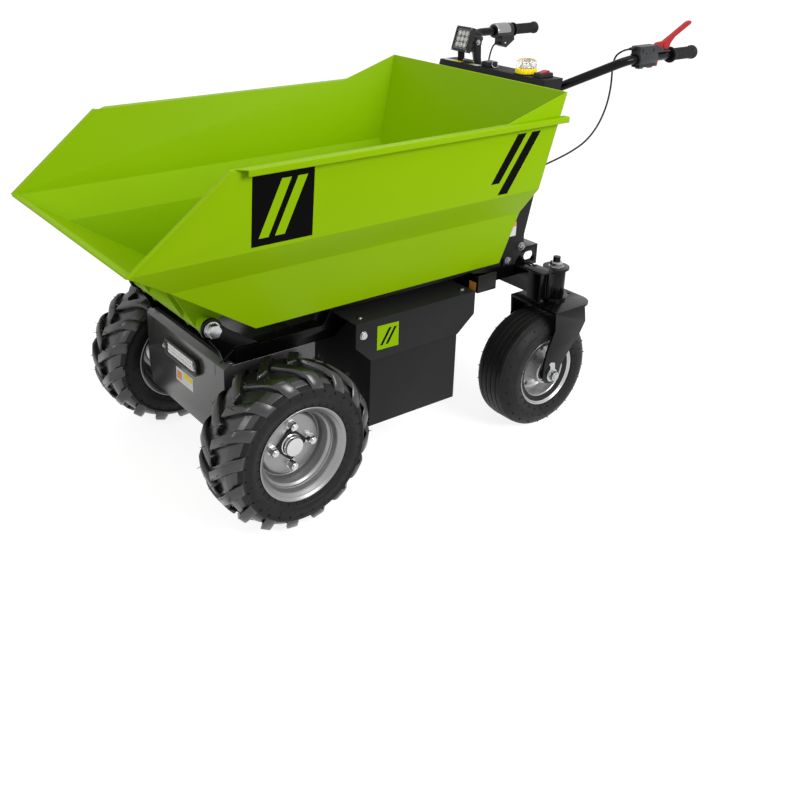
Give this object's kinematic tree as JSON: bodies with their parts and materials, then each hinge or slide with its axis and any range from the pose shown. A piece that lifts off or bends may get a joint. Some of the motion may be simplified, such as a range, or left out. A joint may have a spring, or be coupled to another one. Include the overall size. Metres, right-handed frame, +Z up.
{
  "type": "battery site dumper",
  "caption": "Walk-behind battery dumper with a tipping steel skip, driven front wheels with chevron tyres, swivelling rear castors, handlebar and work lamps",
  "frame": {"origin": "on the floor under the middle of the machine's box", "axes": "+X forward, the way it drives and tips; +Y to the machine's left; +Z up"},
  "size_m": [1.73, 0.77, 1.075],
  "materials": {
    "skip_green": "smooth semi-gloss lime green paint on folded steel sheet",
    "black_paint": "satin black paint on steel channel and tube",
    "grey_coat": "fine textured dark grey powder coat",
    "zinc": "bright zinc plating",
    "rim_silver": "silver sprayed wheel paint",
    "tyre_rubber": "dull black tyre rubber",
    "black_rubber": "black rubber",
    "black_plastic": "black moulded plastic",
    "red_plastic": "red moulded plastic",
    "lamp_black": "black anodised die-cast aluminium",
    "lens": "clear lens",
    "beacon_yellow": "yellow moulded plastic"
  },
  "bodies": {
    "chassis": {"main_frame": "black_paint", "pivot_pin": "zinc", "nose_cover": "black_paint", "rest_pads": "black_rubber", "battery_box": "grey_coat", "side_cover_left": "grey_coat", "side_cover_right": "grey_coat", "rear_beam": "black_paint", "rear_bracket": "black_paint", "control_column": "grey_coat", "skip_latch": "black_paint", "drive_motor_left": "grey_coat", "drive_motor_right": "grey_coat", "handlebar": "black_paint", "bar_saddles": "black_paint", "grip_left": "black_rubber", "grip_right": "black_rubber", "lever_clamp": "black_plastic", "release_lever": "red_plastic", "throttle": "black_plastic", "key_switch": "black_plastic", "lead_socket": "black_plastic", "release_cable": "black_rubber", "throttle_lead": "black_rubber", "work_lamp": "lamp_black", "work_lamp_lens": "lens", "lamp_bracket": "grey_coat", "nose_lamp": "lamp_black", "nose_lamp_lens": "lens", "beacon_base": "beacon_yellow", "beacon_dome": "lens"},
    "skip": {"skip_tub": "skip_green", "skip_rims": "skip_green", "skip_pivot": "skip_green", "skip_striker": "skip_green"},
    "drive_wheel_left": {"front_tyre_left": "tyre_rubber", "front_rim_left": "rim_silver", "front_hub_left": "zinc"},
    "castor_left": {"castor_fork_left": "black_paint", "castor_axle_left": "zinc"},
    "castor_wheel_left": {"castor_tyre_left": "tyre_rubber", "castor_rim_left": "rim_silver"},
    "drive_wheel_right": {"front_tyre_right": "tyre_rubber", "front_rim_right": "rim_silver", "front_hub_right": "zinc"},
    "castor_right": {"castor_fork_right": "black_paint", "castor_axle_right": "zinc"},
    "castor_wheel_right": {"castor_tyre_right": "tyre_rubber", "castor_rim_right": "rim_silver"}
  },
  "joints": [
    {"name": "skip_tip", "type": "hinge", "parent": "chassis", "child": "skip", "pos_m": [0.611, 0, 0.472], "axis": [0, 1, 0], "range_deg": [0, 80]},
    {"name": "drive_spin_left", "type": "hinge", "parent": "chassis", "child": "drive_wheel_left", "pos_m": [0.487, 0.305, 0.203], "axis": [0, 1, 0], "continuous": true},
    {"name": "castor_swivel_left", "type": "hinge", "parent": "chassis", "child": "castor_left", "pos_m": [-0.397, 0.29, 0.4], "axis": [0, 0, 1], "continuous": true},
    {"name": "castor_spin_left", "type": "hinge", "parent": "castor_left", "child": "castor_wheel_left", "pos_m": [-0.332, 0.29, 0.163], "axis": [0, 1, 0], "continuous": true},
    {"name": "drive_spin_right", "type": "hinge", "parent": "chassis", "child": "drive_wheel_right", "pos_m": [0.487, -0.305, 0.203], "axis": [0, 1, 0], "continuous": true},
    {"name": "castor_swivel_right", "type": "hinge", "parent": "chassis", "child": "castor_right", "pos_m": [-0.397, -0.29, 0.4], "axis": [0, 0, 1], "continuous": true},
    {"name": "castor_spin_right", "type": "hinge", "parent": "castor_right", "child": "castor_wheel_right", "pos_m": [-0.332, -0.29, 0.163], "axis": [0, 1, 0], "continuous": true}
  ]
}
